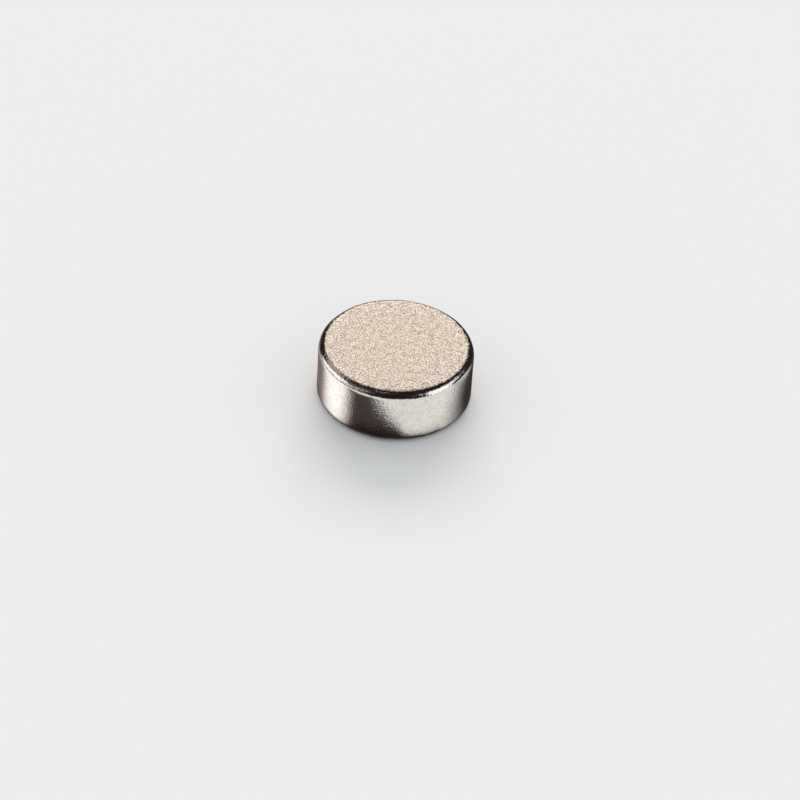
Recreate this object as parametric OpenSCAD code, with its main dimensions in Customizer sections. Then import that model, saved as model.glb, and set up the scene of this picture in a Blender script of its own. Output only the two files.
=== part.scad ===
// Small disc magnet: one sintered puck, ground on both pole faces and
// around its wall, tumbled so that its two edges are round, then plated.
// Millimetres. +Z is the magnet's axis, and the origin is the centre of
// the lower pole face.

/* [Body] */
// Diameter across the wall
diameter = 5; // [2:0.5:30]
// Height between the two pole faces
height = 2; // [1:0.5:30]

/* [Edges] */
// Radius of the round between each pole face and the wall
edge_radius = 0.28; // [0.05:0.01:0.45]

/* [Hidden] */
// Segments that draw the disc's circumference and the edge's full circle
around = 180;
edge_around = 48;

// Radius of the wall, and of the flat part of each pole face
wall_radius = diameter / 2;
face_radius = wall_radius - edge_radius;

// Circular section of one edge round, seated edge_radius inside the wall
// and centred at the given height
module edge_round(centre_height) {
    translate([face_radius, centre_height])
        circle(r = edge_radius, $fn = edge_around);
}

// Right half of the disc's section: the wall's band and the pole faces'
// band cross, and a circle fills each corner between them
module half_section() {
    translate([0, edge_radius])
        square([wall_radius, height - 2 * edge_radius]);
    square([face_radius, height]);
    edge_round(edge_radius);
    edge_round(height - edge_radius);
}

// The whole puck, turned from its half section
module magnet() {
    color([0.83, 0.80, 0.75])
        rotate_extrude($fn = around)
            half_section();
}

magnet();
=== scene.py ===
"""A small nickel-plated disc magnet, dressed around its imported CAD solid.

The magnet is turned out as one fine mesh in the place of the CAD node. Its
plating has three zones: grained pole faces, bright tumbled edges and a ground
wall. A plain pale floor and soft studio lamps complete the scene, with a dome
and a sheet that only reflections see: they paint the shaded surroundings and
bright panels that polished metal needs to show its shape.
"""
import logging
import math
from collections.abc import Callable
from dataclasses import dataclass
from enum import Enum

import bmesh
import bpy
from mathutils import Matrix, Vector


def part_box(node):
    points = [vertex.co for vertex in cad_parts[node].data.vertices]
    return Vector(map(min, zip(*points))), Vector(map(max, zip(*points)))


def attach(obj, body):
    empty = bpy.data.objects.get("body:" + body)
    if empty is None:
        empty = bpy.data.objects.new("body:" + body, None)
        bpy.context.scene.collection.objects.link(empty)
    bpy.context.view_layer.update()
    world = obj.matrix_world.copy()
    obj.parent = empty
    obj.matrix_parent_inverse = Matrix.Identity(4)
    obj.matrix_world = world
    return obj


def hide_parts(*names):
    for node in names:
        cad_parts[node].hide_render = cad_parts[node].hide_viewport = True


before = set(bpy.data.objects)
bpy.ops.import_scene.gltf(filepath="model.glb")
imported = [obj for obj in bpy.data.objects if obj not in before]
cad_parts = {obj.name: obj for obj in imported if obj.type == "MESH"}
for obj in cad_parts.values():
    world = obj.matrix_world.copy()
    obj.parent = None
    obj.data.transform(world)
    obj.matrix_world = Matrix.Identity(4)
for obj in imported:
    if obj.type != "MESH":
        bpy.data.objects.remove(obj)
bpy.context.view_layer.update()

log = logging.getLogger("magnet")

Colour = tuple[float, float, float]
Place = tuple[float, float]
Socket = bpy.types.NodeSocket

# One millimetre in metres, the picture's width in pixels, and how far the
# table sheet reaches in millimetres.
MM = 0.001
IMAGE_WIDTH = 800.0
FAR = 2400.0


# ---------------------------------------------------------------- helpers

class Pick(Enum):
    """What is selected of a mesh in edit mode."""

    EDGES = "EDGE"
    FACES = "FACE"


def deselect_all() -> None:
    """Leaves object mode with nothing selected."""
    if bpy.context.object and bpy.context.object.mode != "OBJECT":
        bpy.ops.object.mode_set(mode="OBJECT")
    bpy.ops.object.select_all(action="DESELECT")


def activate(piece: bpy.types.Object) -> None:
    """Selects one object alone and makes it the active one.

    Args:
        piece: the object.
    """
    deselect_all()
    piece.select_set(True)
    bpy.context.view_layer.objects.active = piece


def edit_selected(piece: bpy.types.Object, pick: Pick,
                  chosen: Callable[[bmesh.types.BMEdge | bmesh.types.BMFace], bool]) -> None:
    """Opens a piece in edit mode with some of its edges or faces selected.

    Args:
        piece: the active object.
        pick: whether edges or faces are selected.
        chosen: tells from a bmesh edge or face whether it is selected.
    """
    bpy.ops.object.mode_set(mode="EDIT")
    bpy.ops.mesh.select_mode(type=pick.value)
    bpy.ops.mesh.select_all(action="DESELECT")
    mesh = bmesh.from_edit_mesh(piece.data)
    for part in mesh.edges if pick is Pick.EDGES else mesh.faces:
        part.select_set(chosen(part))
    bmesh.update_edit_mesh(piece.data)


def to_metres(piece: bpy.types.Object) -> None:
    """Brings the active piece from millimetres to metres."""
    piece.scale = (MM, MM, MM)
    bpy.ops.object.transform_apply(location=True, rotation=True, scale=True)


def direction(azimuth: float, elevation: float) -> Vector:
    """Gives the unit vector of a direction.

    Args:
        azimuth: degrees from the camera's side, to its right.
        elevation: degrees above the floor.

    Returns:
        The unit vector from the magnet.
    """
    a, e = math.radians(azimuth), math.radians(elevation)
    return Vector((math.sin(a) * math.cos(e), -math.cos(a) * math.cos(e), math.sin(e)))


def smooth_step(share: float) -> float:
    """Eases a share that is held between 0 and 1."""
    share = min(1.0, max(0.0, share))
    return share * share * (3.0 - 2.0 * share)


class NodeTree:
    """Adds and links the shader nodes of one material or world."""

    def __init__(self, owner: bpy.types.Material | bpy.types.World) -> None:
        """Empties the owner's node tree and keeps it.

        Args:
            owner: the material or world.
        """
        owner.use_nodes = True
        self.owner = owner
        self.tree = owner.node_tree
        self.tree.nodes.clear()

    def add(self, kind: str, inputs: dict | None = None, **settings: object) -> bpy.types.Node:
        """Adds a node.

        Args:
            kind: the node's type, such as ShaderNodeMath.
            inputs: socket name or index to a value, or to the socket linked to it.
            settings: the node's own properties.

        Returns:
            The new node.
        """
        node = self.tree.nodes.new(kind)
        for name, value in settings.items():
            setattr(node, name, value)
        for socket, value in (inputs or {}).items():
            if isinstance(value, bpy.types.NodeSocket):
                self.tree.links.new(value, node.inputs[socket])
            else:
                node.inputs[socket].default_value = value
        return node

    def math(self, operation: str, *values: Socket | float) -> Socket:
        """Adds a Math node on the given values or sockets and returns its output."""
        return self.add("ShaderNodeMath", dict(enumerate(values)), operation=operation).outputs[0]

    def ramp(self, value: Socket, low: float, high: float) -> Socket:
        """Maps value smoothly from low..high to 0..1 and returns the socket."""
        node = self.add("ShaderNodeMapRange", {"Value": value, "From Min": low, "From Max": high},
                        interpolation_type="SMOOTHSTEP")
        return node.outputs["Result"]

    def noise(self, coords: Socket, per_mm: float, detail: float = 2.0,
              roughness: float = 0.5) -> Socket:
        """Adds noise with per_mm cells along a millimetre and returns its value."""
        node = self.add("ShaderNodeTexNoise",
                        {"Vector": coords, "Scale": per_mm / MM, "Detail": detail,
                         "Roughness": roughness})
        return node.outputs[0]

    def mix(self, share: Socket | float, a: Socket | float, b: Socket | float) -> Socket:
        """Mixes two numbers by share and returns the socket."""
        node = self.add("ShaderNodeMix", {"Factor": share, "A": a, "B": b}, data_type="FLOAT")
        return node.outputs[0]

    def mix_colours(self, share: Socket, a: Socket | Colour, b: Socket | Colour) -> Socket:
        """Mixes two colours by share and returns the socket."""
        a, b = ((*c, 1.0) if isinstance(c, tuple) else c for c in (a, b))
        return self.add("ShaderNodeMixRGB", {"Fac": share, "Color1": a, "Color2": b}).outputs[0]

    def surface(self, shader: bpy.types.Node) -> None:
        """Ends the tree with its shader."""
        kind = "World" if isinstance(self.owner, bpy.types.World) else "Material"
        self.add(f"ShaderNodeOutput{kind}", {"Surface": shader.outputs[0]})


# ---------------------------------------------------------------- the magnet

@dataclass(frozen=True)
class Wear:
    """One scale of the unevenness that tumbling leaves, in millimetres."""

    name: str
    size: float
    strength: float
    depth: int


@dataclass
class MagnetPiece:
    """The magnet's puck, modelled in millimetres and then brought to metres.

    The wear is full where a point of the round lies more than
    edge_radius / worn_rise past both of the round's ends. Each pole face falls
    off with the square of the way beyond crown_radius, and by crown_fall at
    the first millimetre of it.
    """

    radius: float
    height: float
    edge_radius: float = 0.28
    around: int = 320
    edge_steps: int = 20
    wall_rings: int = 22
    face_rings: int = 30
    hub_radius: float = 0.06
    worn_rise: float = 4.0
    crown_radius: float = 1.5
    crown_fall: float = 0.03
    wear: tuple[Wear, ...] = (Wear("wear_wave", 0.9, 0.030, 1), Wear("wear_dint", 0.18, 0.006, 2))

    @property
    def flat_radius(self) -> float:
        """Radius of the flat on each pole face."""
        return self.radius - self.edge_radius

    @property
    def straight(self) -> float:
        """Half the height of the wall between the two rounded edges."""
        return self.height / 2 - self.edge_radius

    def build(self) -> bpy.types.Object:
        """Models the puck.

        Returns:
            The puck, in metres and standing at the frame's origin.
        """
        puck = self._blank()
        self._round_edges(puck)
        self._ring_wall(puck)
        self._ring_faces(puck)
        self._crown(puck)
        self._weigh_edges(puck)
        self._tumble(puck)
        to_metres(puck)
        bpy.ops.object.shade_smooth()
        return puck

    def _blank(self) -> bpy.types.Object:
        """Adds the square-cornered blank.

        Returns:
            The blank, in millimetres.
        """
        deselect_all()
        bpy.ops.mesh.primitive_cylinder_add(
            vertices=self.around, radius=self.radius, depth=self.height,
            location=(0, 0, self.height / 2))
        puck = bpy.context.object
        puck.name = "disc_magnet"
        bpy.ops.object.transform_apply(location=True, rotation=True, scale=True)
        return puck

    def _runs_up(self, edge: bmesh.types.BMEdge) -> bool:
        """Tells whether an edge runs up the wall."""
        low, high = sorted(v.co.z for v in edge.verts)
        return high - low > self.height / 2

    def _round_edges(self, puck: bpy.types.Object) -> None:
        """Rounds the two edges between the wall and the pole faces.

        Args:
            puck: the square-cornered blank.
        """
        edit_selected(puck, Pick.EDGES, lambda edge: not self._runs_up(edge))
        bpy.ops.mesh.bevel(offset=self.edge_radius, segments=self.edge_steps, profile=0.5,
                           affect="EDGES", clamp_overlap=False)
        bpy.ops.object.mode_set(mode="OBJECT")

    def _ring_wall(self, puck: bpy.types.Object) -> None:
        """Cuts the wall into even rings.

        Args:
            puck: the puck with its edges rounded.
        """
        edit_selected(puck, Pick.EDGES, self._runs_up)
        bpy.ops.mesh.subdivide(number_cuts=self.wall_rings)
        bpy.ops.object.mode_set(mode="OBJECT")

    def _ring_faces(self, puck: bpy.types.Object) -> None:
        """Insets the pole faces ring by ring and closes their middles.

        Args:
            puck: the puck, whose pole faces are one polygon each.
        """
        step = (self.flat_radius - self.hub_radius) / self.face_rings
        edit_selected(puck, Pick.FACES, lambda face: len(face.verts) == self.around)
        for _ in range(self.face_rings):
            bpy.ops.mesh.inset(thickness=step, use_even_offset=True)
        bpy.ops.mesh.poke()
        bpy.ops.object.mode_set(mode="OBJECT")

    def _crown(self, puck: bpy.types.Object) -> None:
        """Lets the pole faces fall off a little towards their edges, as lapping does.

        Args:
            puck: the puck with its rings cut.
        """
        middle = self.height / 2
        for vertex in puck.data.vertices:
            x, y, z = vertex.co
            beyond = max(0.0, math.hypot(x, y) - self.crown_radius)
            up = min(1.0, max(0.0, (abs(z - middle) - self.straight) / self.edge_radius))
            vertex.co.z -= math.copysign(self.crown_fall * (beyond * up) ** 2, z - middle)

    def _weigh_edges(self, puck: bpy.types.Object) -> None:
        """Weighs each vertex by how much the tumbling wore it.

        Args:
            puck: the puck, which gains the vertex group worn.
        """
        group = puck.vertex_groups.new(name="worn")
        for vertex in puck.data.vertices:
            x, y, z = vertex.co
            out = math.hypot(x, y) - self.flat_radius
            up = abs(z - self.height / 2) - self.straight
            share = max(0.0, min(out, up)) / self.edge_radius
            group.add([vertex.index], min(1.0, self.worn_rise * share), "REPLACE")

    def _tumble(self, puck: bpy.types.Object) -> None:
        """Wears the edges unevenly, as tumbling does.

        Args:
            puck: the puck with its vertex group worn.
        """
        for wear in self.wear:
            texture = bpy.data.textures.new(wear.name, type="CLOUDS")
            texture.noise_scale = wear.size
            texture.noise_depth = wear.depth
            modifier = puck.modifiers.new(wear.name, "DISPLACE")
            modifier.texture = texture
            modifier.texture_coords = "LOCAL"
            modifier.strength = wear.strength
            modifier.mid_level = 0.5
            modifier.vertex_group = "worn"
            activate(puck)
            bpy.ops.object.modifier_apply(modifier=wear.name)


@dataclass(frozen=True)
class Coat:
    """The sockets that describe one stretch of the plating."""

    colour: Socket
    roughness: Socket
    relief: Socket

    def blend(self, tree: NodeTree, other: "Coat", share: Socket) -> "Coat":
        """Blends into another coat.

        Args:
            tree: the material's node tree.
            other: the coat where share is 1.
            share: how much of the other coat shows.

        Returns:
            The blended coat.
        """
        return Coat(tree.mix_colours(share, self.colour, other.colour),
                    tree.mix(share, self.roughness, other.roughness),
                    tree.mix(share, self.relief, other.relief))


@dataclass(frozen=True)
class Ground:
    """How one zone of the magnet was ground before it was plated.

    Grains, specks and blots are counted along a millimetre, and the relief
    is in millimetres. Specks and blots are mixed into one noise, and spread
    says which of its values become the dark and the light grains. A dark
    grain takes the coarse roughness, and a light one the smooth. Detail and
    the two grits say how finely the specks and blots break up.
    """

    dark: Colour
    light: Colour
    coarse: float
    smooth: float
    grains: float
    relief: float
    specks: float = 20.0
    blots: float = 5.0
    blot_share: float = 0.22
    spread: tuple[float, float] = (0.31, 0.63)
    detail: float = 3.0
    speck_grit: float = 0.7
    blot_grit: float = 0.6

    def coat(self, tree: NodeTree, coords: Socket) -> Coat:
        """Adds the ground's nodes.

        Args:
            tree: the material's node tree.
            coords: the socket with the Object coordinates.

        Returns:
            The ground's coat.
        """
        specks = tree.noise(coords, self.specks, self.detail, self.speck_grit)
        blots = tree.noise(coords, self.blots, self.detail, self.blot_grit)
        grain = tree.ramp(tree.mix(self.blot_share, specks, blots), *self.spread)
        relief = tree.math("MULTIPLY", tree.noise(coords, self.grains), self.relief * MM)
        return Coat(tree.mix_colours(grain, self.dark, self.light),
                    tree.mix(grain, self.coarse, self.smooth), relief)


@dataclass(frozen=True)
class NickelPlating:
    """Nickel over three grounds, with the borders between them in millimetres.

    Each border starts and ends at a distance out from the flat of the face,
    or up from the straight of the wall. The face's borders are frayed.
    """

    name: str = "nickel_plating"
    face: Ground = Ground(dark=(0.150, 0.097, 0.055), light=(0.940, 0.879, 0.797),
                          coarse=0.50, smooth=0.50, grains=26.0, relief=0.022)
    edge: Ground = Ground(dark=(0.71, 0.67, 0.60), light=(0.71, 0.67, 0.60),
                          coarse=0.12, smooth=0.12, grains=15.0, relief=0.008)
    wall: Ground = Ground(dark=(0.60, 0.56, 0.50), light=(0.78, 0.74, 0.67),
                          coarse=0.21, smooth=0.06, grains=19.0, relief=0.0092)
    face_metal: float = 0.50
    frays: float = 9.0
    fray: float = 0.08
    fray_detail: float = 3.0
    metal_border: tuple[float, float] = (0.0, 0.10)
    face_border: tuple[float, float] = (0.092, 0.145)
    wall_border: tuple[float, float] = (-0.02, 0.04)

    def material(self, puck: MagnetPiece) -> bpy.types.Material:
        """Builds the plating's material.

        Args:
            puck: the magnet whose zones the plating follows.

        Returns:
            The new material.
        """
        made = bpy.data.materials.new(self.name)
        tree = NodeTree(made)
        coords = tree.add("ShaderNodeTexCoord").outputs["Object"]
        x, y, z = tree.add("ShaderNodeSeparateXYZ", {0: coords}).outputs
        out = tree.math("SQRT", tree.math("ADD", tree.math("MULTIPLY", x, x),
                                          tree.math("MULTIPLY", y, y)))
        frays = tree.noise(coords, self.frays, self.fray_detail)
        fray = tree.math("MULTIPLY", frays, self.fray * MM)
        out = tree.math("ADD", out, fray)
        bare = tree.ramp(out, *((puck.flat_radius + far) * MM for far in self.metal_border))
        off_face = tree.ramp(out, *((puck.flat_radius + far) * MM for far in self.face_border))
        up = tree.math("ABSOLUTE", tree.math("SUBTRACT", z, puck.height / 2 * MM))
        on_edge = tree.ramp(up, *((puck.straight + far) * MM for far in self.wall_border))

        face, edge, wall = (ground.coat(tree, coords)
                            for ground in (self.face, self.edge, self.wall))
        coat = wall.blend(tree, face.blend(tree, edge, off_face), on_edge)
        bump = tree.add("ShaderNodeBump", {"Strength": 1.0, "Distance": 1.0, "Height": coat.relief})
        tree.surface(tree.add("ShaderNodeBsdfPrincipled",
                              {"Base Color": coat.colour, "Roughness": coat.roughness,
                               "Metallic": tree.mix(bare, self.face_metal, 1.0),
                               "Normal": bump.outputs[0]}))
        return made


# ---------------------------------------------------------------- painted reflections, which the metal shows

def glow(name: str, colour: Colour | None = None) -> bpy.types.Material:
    """Makes a material that shines with one colour, or with its mesh's own glow, for painted
    reflections.

    Args:
        name: the material's name.
        colour: the colour at strength 1, or None for the mesh's attribute glow.

    Returns:
        The new material, which lights nothing by itself.
    """
    made = bpy.data.materials.new(name)
    tree = NodeTree(made)
    made.cycles.emission_sampling = "NONE"
    if colour is None:
        shine = tree.add("ShaderNodeAttribute", attribute_name="glow").outputs["Color"]
    else:
        shine = (*colour, 1.0)
    tree.surface(tree.add("ShaderNodeEmission", {"Color": shine, "Strength": 1.0}))
    return made


def stage_for_reflections(thing: bpy.types.Object) -> None:
    """Lets only reflections see a thing.

    Args:
        thing: a mesh of the stage.
    """
    thing.visible_camera = False
    thing.visible_diffuse = False
    thing.visible_shadow = False
    thing.visible_transmission = False


@dataclass(frozen=True)
class Panel:
    """A pane of the tent with its own brightness, a painted reflection, in degrees of azimuth and
    elevation.
    """

    name: str
    left: float
    right: float
    low: float
    high: float
    colour: Colour

    def holds(self, azimuth: float, elevation: float) -> bool:
        """Tells whether a direction lies in the panel."""
        turn = (azimuth - self.left) % 360.0
        return turn <= (self.right - self.left) and self.low <= elevation <= self.high


@dataclass(frozen=True)
class Tent:
    """A dark dome over the table that only reflections see: painted reflections of a shaded room,
    with bright panels for the metal to reflect.

    The radius is in metres.
    """

    radius: float = 24.0
    around: int = 180
    rings: int = 90
    # Painted dark reflection: the dome shines this dark colour for reflected rays only, standing in
    # for a shaded room.
    painted_dark: Colour = (0.020, 0.0155, 0.0165)
    # Each panel is a painted reflection of a bright or dim part of the room.
    panels: tuple[Panel, ...] = (
        Panel("back_panel", left=156, right=204, low=24, high=54, colour=(0.66, 0.62, 0.58)),
        Panel("brown_panel", left=-142, right=-106, low=38, high=56, colour=(0.58, 0.46, 0.40)),
        Panel("left_panel", left=-122, right=-112, low=4, high=22, colour=(1.46, 1.47, 1.58)),
        Panel("left_mid_panel", left=-112, right=-102, low=4, high=36, colour=(1.46, 1.47, 1.58)),
        Panel("left_high_panel", left=-102, right=-76, low=6, high=42, colour=(1.46, 1.47, 1.58)),
        Panel("left_low_panel", left=-76, right=-58, low=12, high=34, colour=(0.92, 0.91, 0.97)),
        Panel("left_dusk_panel", left=-98, right=-44, low=42, high=62, colour=(0.11, 0.090, 0.083)),
        Panel("left_near_panel", left=-60, right=-46, low=28, high=46, colour=(0.53, 0.50, 0.52)),
        Panel("left_near_low_panel", left=-58, right=-42, low=4, high=28,
              colour=(0.27, 0.245, 0.25)),
        Panel("right_panel", left=51, right=84, low=2, high=50, colour=(1.42, 1.45, 1.58)),
        Panel("right_high_panel", left=84, right=106, low=24, high=42, colour=(1.30, 1.32, 1.44)),
        Panel("right_far_panel", left=106, right=118, low=30, high=44, colour=(0.38, 0.37, 0.39)),
    )

    def build(self) -> None:
        """Hangs the tent."""
        deselect_all()
        bpy.ops.mesh.primitive_uv_sphere_add(segments=self.around, ring_count=self.rings,
                                             radius=self.radius, location=(0, 0, 0))
        tent = bpy.context.object
        tent.name = "painted_reflection_tent"
        # The dome's dark colour and its panels are painted reflections, not lamps.
        tent.data.materials.append(glow("painted_dark_reflection", self.painted_dark))
        for panel in self.panels:
            tent.data.materials.append(glow(panel.name, panel.colour))
        for face in tent.data.polygons:
            toward = face.center.normalized()
            elevation = math.degrees(math.asin(toward.z))
            azimuth = math.degrees(math.atan2(toward.x, -toward.y))
            for index, panel in enumerate(self.panels, start=1):
                if panel.holds(azimuth, elevation):
                    face.material_index = index
        edit_selected(tent, Pick.FACES, lambda face: face.calc_center_median().z < 0)
        bpy.ops.mesh.delete(type="FACE")
        bpy.ops.object.mode_set(mode="OBJECT")
        stage_for_reflections(tent)


@dataclass(frozen=True)
class Patch:
    """A soft-edged patch of painted reflection, of one brightness, on the sheet, in millimetres."""

    name: str
    colour: Colour
    blur: float
    outline: tuple[Place, ...]

    def cover(self, x: float, y: float) -> float:
        """Tells how far the patch covers a point.

        Args:
            x: the point's place to the right, in millimetres.
            y: the point's place away from the front, in millimetres.

        Returns:
            0 outside the patch, 1 inside it and a smooth step between them.
        """
        inside = False
        nearest = math.inf
        for (ax, ay), (bx, by) in zip(self.outline, self.outline[1:] + self.outline[:1]):
            if (ay > y) != (by > y) and x < ax + (bx - ax) * (y - ay) / (by - ay):
                inside = not inside
            run = ((x - ax) * (bx - ax) + (y - ay) * (by - ay)) / ((bx - ax) ** 2 + (by - ay) ** 2)
            run = min(1.0, max(0.0, run))
            nearest = min(nearest, math.hypot(x - ax - run * (bx - ax), y - ay - run * (by - ay)))
        reach = nearest if inside else -nearest
        return smooth_step(0.5 + reach / self.blur)


@dataclass(frozen=True)
class PaintedReflectionSheet:
    """Painted reflections of the table, as the magnet's wall and edges show them.

    Sizes are in millimetres. The sheet is a disc whose rings grow outwards by
    a fixed share, so that it is finest beside the magnet. A painted shadow
    darkens the sheet at the magnet's own foot.
    """

    # Painted reflection of the lit floor, where no patch lies.
    pale: Colour = (0.935, 0.965, 0.985)
    around: int = 180
    hub: float = 2.0
    growth: float = 1.045
    lift: float = 0.004
    # Painted shadow of the magnet at its own foot, and how far it reaches.
    painted_foot_shadow: Colour = (0.055, 0.048, 0.046)
    painted_shadow_reach: tuple[float, float] = (2.45, 2.80)
    # Each patch is a painted reflection: the dark ones paint reflected shade and dark surroundings,
    # and the light ones paint reflected light.
    patches: tuple[Patch, ...] = (
        Patch("dusk_back", (0.30, 0.26, 0.25), 2.0,
              ((-6.0, 6.5), (6.0, 6.5), (FAR, FAR), (-FAR, FAR))),
        Patch("grey_left", (0.25, 0.19, 0.18), 0.8,
              ((-2.0, -1.25), (-2.5, -0.97), (-2.9, -0.69), (-3.7, -0.10), (-5.0, 1.0), (-6.0, 4.5),
               (-2.0, 4.5))),
        Patch("white_left", (1.40, 1.40, 1.47), 0.7,
              ((-1.9, -1.6), (-2.9, -0.95), (-3.7, -0.4), (-5.4, 0.6), (-9.0, 0.0), (-9.0, -5.0),
               (-4.0, -3.4), (-1.9, -2.4))),
        Patch("mid_left", (0.45, 0.38, 0.36), 1.5,
              ((-5.6, 1.0), (-14.0, 1.2), (-18.0, 8.0), (-5.6, 3.5))),
        Patch("far_left", (0.07, 0.055, 0.052), 2.0,
              ((-3.6, 3.9), (-7.5, 5.8), (-12.0, 6.4), (-FAR, 1150.0), (-FAR, FAR), (-800.0, FAR),
               (-2.5, 6.0))),
        Patch("dusk_left", (0.22, 0.165, 0.155), 1.1,
              ((-1.5, -1.7), (-1.93, -2.05), (-2.38, -2.28), (-2.88, -2.42), (-5.2, -3.4),
               (-5.2, -5.8), (-2.4, -5.4), (-1.0, -3.0))),
        Patch("dark_left", (0.068, 0.055, 0.057), 0.35,
              ((-1.5, -2.0), (-1.93, -2.42), (-2.38, -2.70), (-2.83, -2.95), (-4.3, -3.9),
               (-4.3, -5.8), (-2.4, -5.2), (-1.38, -4.33), (-0.80, -4.13), (-0.42, -3.88),
               (-0.02, -3.60), (0.38, -3.30), (0.65, -2.7), (0.4, -2.0))),
        Patch("deep_left", (0.018, 0.014, 0.015), 0.5,
              ((-1.6, -1.9), (-1.5, -2.75), (-0.5, -3.15), (0.2, -3.05), (0.9, -2.72), (1.9, -2.1),
               (1.2, -1.6))),
        Patch("bright_right", (1.03, 1.03, 1.03), 0.5,
              ((2.1, -1.9), (2.7, -2.0), (4.2, -2.1), (4.1, -2.9), (2.6, -2.7))),
        Patch("strip_right", (0.55, 0.53, 0.52), 0.8,
              ((4.6, -1.4), (11.0, -2.2), (11.0, 5.0), (4.6, 2.5))),
        Patch("dark_right", (0.045, 0.037, 0.038), 1.7,
              ((2.2, -1.68), (2.56, -1.52), (2.90, -1.41), (3.26, -1.19), (3.63, -1.02),
               (4.2, -0.4), (5.0, 1.9), (10.0, 3.4), (FAR, 850.0), (FAR, FAR), (600.0, FAR),
               (1.6, 5.0), (1.6, 0.0))),
    )

    def shade(self, x: float, y: float) -> Colour:
        """Gives the sheet's painted reflection at a point.

        Args:
            x: the point's place to the right, in millimetres.
            y: the point's place away from the front, in millimetres.

        Returns:
            The colour that the sheet shines with there.
        """
        colour = Vector(self.pale)
        for patch in self.patches:
            colour = colour.lerp(Vector(patch.colour), patch.cover(x, y))
        # Painted shadow: the sheet darkens towards the magnet's foot.
        near, far = self.painted_shadow_reach
        away = smooth_step((math.hypot(x, y) - near) / (far - near))
        return tuple(Vector(self.painted_foot_shadow).lerp(colour, away))

    def build(self) -> None:
        """Lays the sheet and paints its reflections and shadow."""
        deselect_all()
        bpy.ops.mesh.primitive_circle_add(vertices=self.around, radius=FAR, fill_type="NGON",
                                          location=(0, 0, self.lift * MM))
        sheet = bpy.context.object
        sheet.name = "painted_reflection_sheet"
        edit_selected(sheet, Pick.FACES, lambda face: True)
        radius = FAR
        while radius > self.hub:
            bpy.ops.mesh.inset(thickness=radius - radius / self.growth, use_even_offset=True)
            radius /= self.growth
        bpy.ops.object.mode_set(mode="OBJECT")
        to_metres(sheet)
        glows = sheet.data.color_attributes.new("glow", "FLOAT_COLOR", "POINT")
        for vertex, value in zip(sheet.data.vertices, glows.data):
            value.color = (*self.shade(vertex.co.x / MM, vertex.co.y / MM), 1.0)
        # The sheet shines with its painted reflections and painted shadow, for reflected rays only.
        sheet.data.materials.append(glow("painted_reflection_glow"))
        stage_for_reflections(sheet)


# ---------------------------------------------------------------- the studio

@dataclass(frozen=True)
class Softbox:
    """A rectangular lamp that faces the magnet, placed and sized in degrees.

    Its distance is in metres.
    """

    name: str
    azimuth: float
    elevation: float
    width: float
    height: float
    radiance: float
    colour: Colour = (1.0, 0.93, 0.86)
    distance: float = 20.0

    def hang(self) -> None:
        """Adds the lamp."""
        light = bpy.data.lights.new(self.name, "AREA")
        light.shape = "RECTANGLE"
        light.size = 2 * self.distance * math.tan(math.radians(self.width / 2))
        light.size_y = 2 * self.distance * math.tan(math.radians(self.height / 2))
        light.color = self.colour
        light.energy = self.radiance * math.pi * light.size * light.size_y
        lamp = bpy.data.objects.new(self.name, light)
        bpy.context.scene.collection.objects.link(lamp)
        toward = direction(self.azimuth, self.elevation)
        lamp.location = toward * self.distance
        lamp.rotation_mode = "QUATERNION"
        lamp.rotation_quaternion = toward.to_track_quat("Z", "Y")


@dataclass(frozen=True)
class Camera:
    """The camera, aimed at the middle of the magnet.

    Angles are in degrees. The focal length and the place of the magnet's
    middle, right of and below the picture's, are in pixels. The distance, the
    sensor and the height of the aim are in millimetres, and the clip is in
    metres.
    """

    elevation: float = 40.21
    roll: float = 3.75
    distance: float = 98.22
    focal: float = 3050.0
    right_by: float = -4.87
    down_by: float = -31.38
    sensor: float = 36.0
    aim_height: float = 1.0
    clip: tuple[float, float] = (0.001, 10.0)

    def stand(self) -> None:
        """Adds the camera and makes it the scene's."""
        data = bpy.data.cameras.new("camera")
        data.sensor_width = self.sensor
        data.lens = self.sensor * self.focal / IMAGE_WIDTH
        data.clip_start, data.clip_end = self.clip
        camera = bpy.data.objects.new("camera", data)
        bpy.context.scene.collection.objects.link(camera)
        forward = -direction(0, self.elevation)
        level = Vector((1, 0, 0))
        below = forward.cross(level)
        roll = math.radians(self.roll)
        right = math.cos(roll) * level - math.sin(roll) * below
        down = math.sin(roll) * level + math.cos(roll) * below
        away = self.distance * MM
        aim = Vector((0, 0, self.aim_height * MM))
        place = aim - away * (forward + (self.right_by * right + self.down_by * down) / self.focal)
        turn = Matrix((right, -down, -forward)).transposed()
        camera.matrix_world = Matrix.Translation(place) @ turn.to_4x4()
        bpy.context.scene.camera = camera


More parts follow.
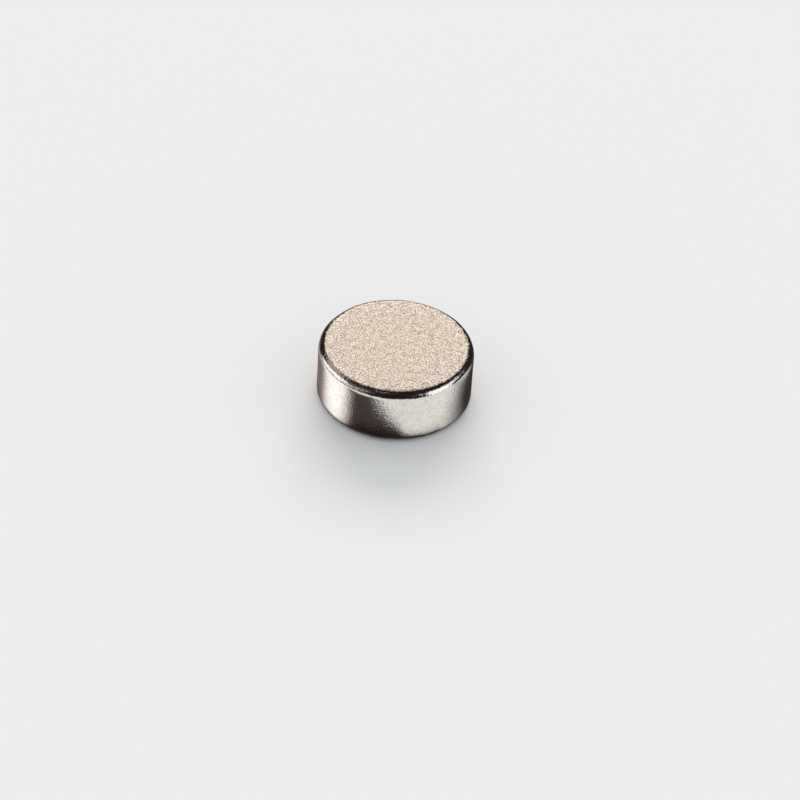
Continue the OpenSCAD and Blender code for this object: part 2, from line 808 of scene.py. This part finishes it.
@dataclass(frozen=True)
class Studio:
    """Floor, room, lamps, camera, and the tent and sheet of painted reflections. The floor's size
    is in metres.
    """

    floor_colour: Colour = (0.910, 0.935, 0.955)
    floor_size: float = 6.0
    room_light: float = 0.70
    room_seen: float = 0.832
    softboxes: tuple[Softbox, ...] = (
        Softbox("key", azimuth=180, elevation=30.0, width=44, height=23, radiance=4.9,
                colour=(1.0, 0.89, 0.82)),
        Softbox("twinkle_left", azimuth=-34, elevation=38, width=3, height=3, radiance=1.2),
        Softbox("twinkle_right", azimuth=34, elevation=38, width=3, height=3, radiance=1.5),
        Softbox("twinkle_high", azimuth=-40, elevation=78, width=3, height=3, radiance=3),
    )

    def build(self) -> None:
        """Sets the whole studio up."""
        self._room()
        self._floor()
        for softbox in self.softboxes:
            softbox.hang()
        # The tent and the sheet are painted reflections of shade and light, which only reflected
        # rays see.
        Tent().build()
        PaintedReflectionSheet().build()
        Camera().stand()

    def _room(self) -> None:
        """Adds a plain white room, seen at the floor's own brightness."""
        world = bpy.data.worlds.new("room")
        bpy.context.scene.world = world
        tree = NodeTree(world)
        path = tree.add("ShaderNodeLightPath").outputs
        seen = tree.math("MAXIMUM", path["Is Camera Ray"], path["Is Glossy Ray"])
        seen = tree.math("MAXIMUM", seen, path["Is Transmission Ray"])
        strength = tree.mix(seen, self.room_light, self.room_seen)
        tree.surface(tree.add("ShaderNodeBackground",
                              {"Color": (1.0, 1.0, 1.0, 1.0), "Strength": strength}))

    def _floor(self) -> None:
        """Lays a plain pale floor."""
        deselect_all()
        bpy.ops.mesh.primitive_plane_add(size=self.floor_size, location=(0, 0, 0))
        floor = bpy.context.object
        floor.name = "floor"
        made = bpy.data.materials.new("pale_floor")
        tree = NodeTree(made)
        tree.surface(tree.add("ShaderNodeBsdfDiffuse", {"Color": (*self.floor_colour, 1.0)}))
        floor.data.materials.append(made)


def main() -> None:
    """Builds the magnet and its studio."""
    logging.basicConfig(level=logging.INFO, format="%(name)s: %(message)s")
    low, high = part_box("magnet")
    magnet = MagnetPiece(radius=(high.x - low.x) / 2 / MM, height=(high.z - low.z) / MM)
    puck = magnet.build()
    puck.data.materials.append(NickelPlating().material(magnet))
    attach(puck, "root")
    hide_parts("magnet")
    log.info("%s: %d faces", puck.name, len(puck.data.polygons))
    Studio().build()
    bpy.context.scene.view_settings.view_transform = "Standard"


if __name__ == "__main__":
    main()
